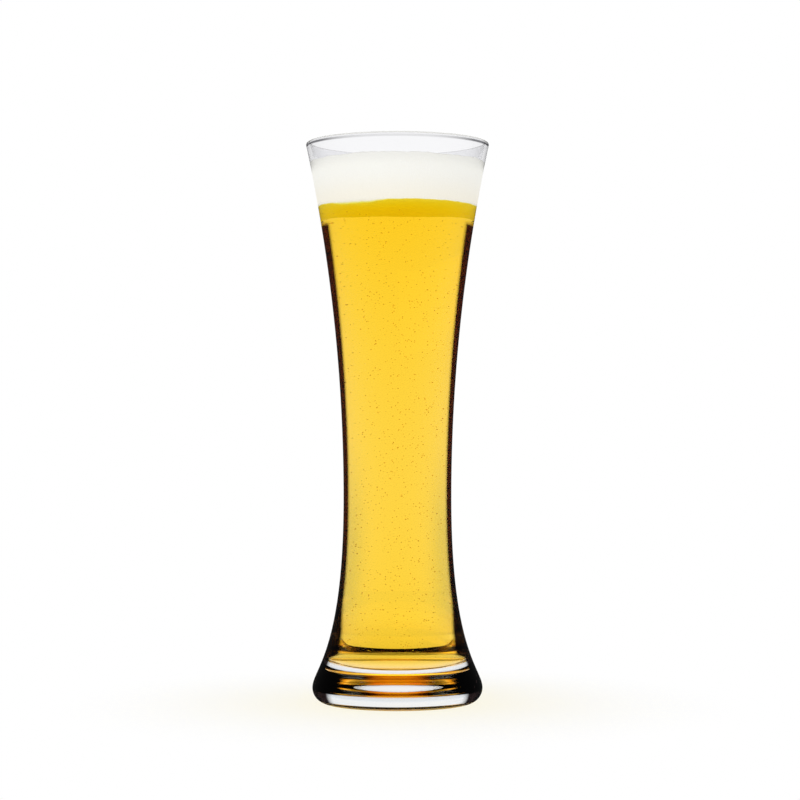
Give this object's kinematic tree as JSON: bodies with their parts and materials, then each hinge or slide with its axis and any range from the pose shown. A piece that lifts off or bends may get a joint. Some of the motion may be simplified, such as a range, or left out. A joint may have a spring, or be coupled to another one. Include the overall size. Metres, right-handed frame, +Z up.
{
  "type": "filled beer glass",
  "caption": "Tall waisted clear beer glass with a flared bowl and a thick solid foot, filled with golden beer under a head of white foam.",
  "frame": {"origin": "on the table, under the middle of the foot", "axes": "+Z up along the glass's axis of revolution; X and Y lie on the table, and any turn about Z is alike"},
  "size_m": [0.072, 0.072, 0.22],
  "materials": {
    "clear_glass": "gloss",
    "golden_beer": "gloss",
    "white_foam": "matte"
  },
  "bodies": {
    "root": {"glass": "clear_glass", "beer": "golden_beer", "foam_head": "white_foam"}
  },
  "joints": []
}
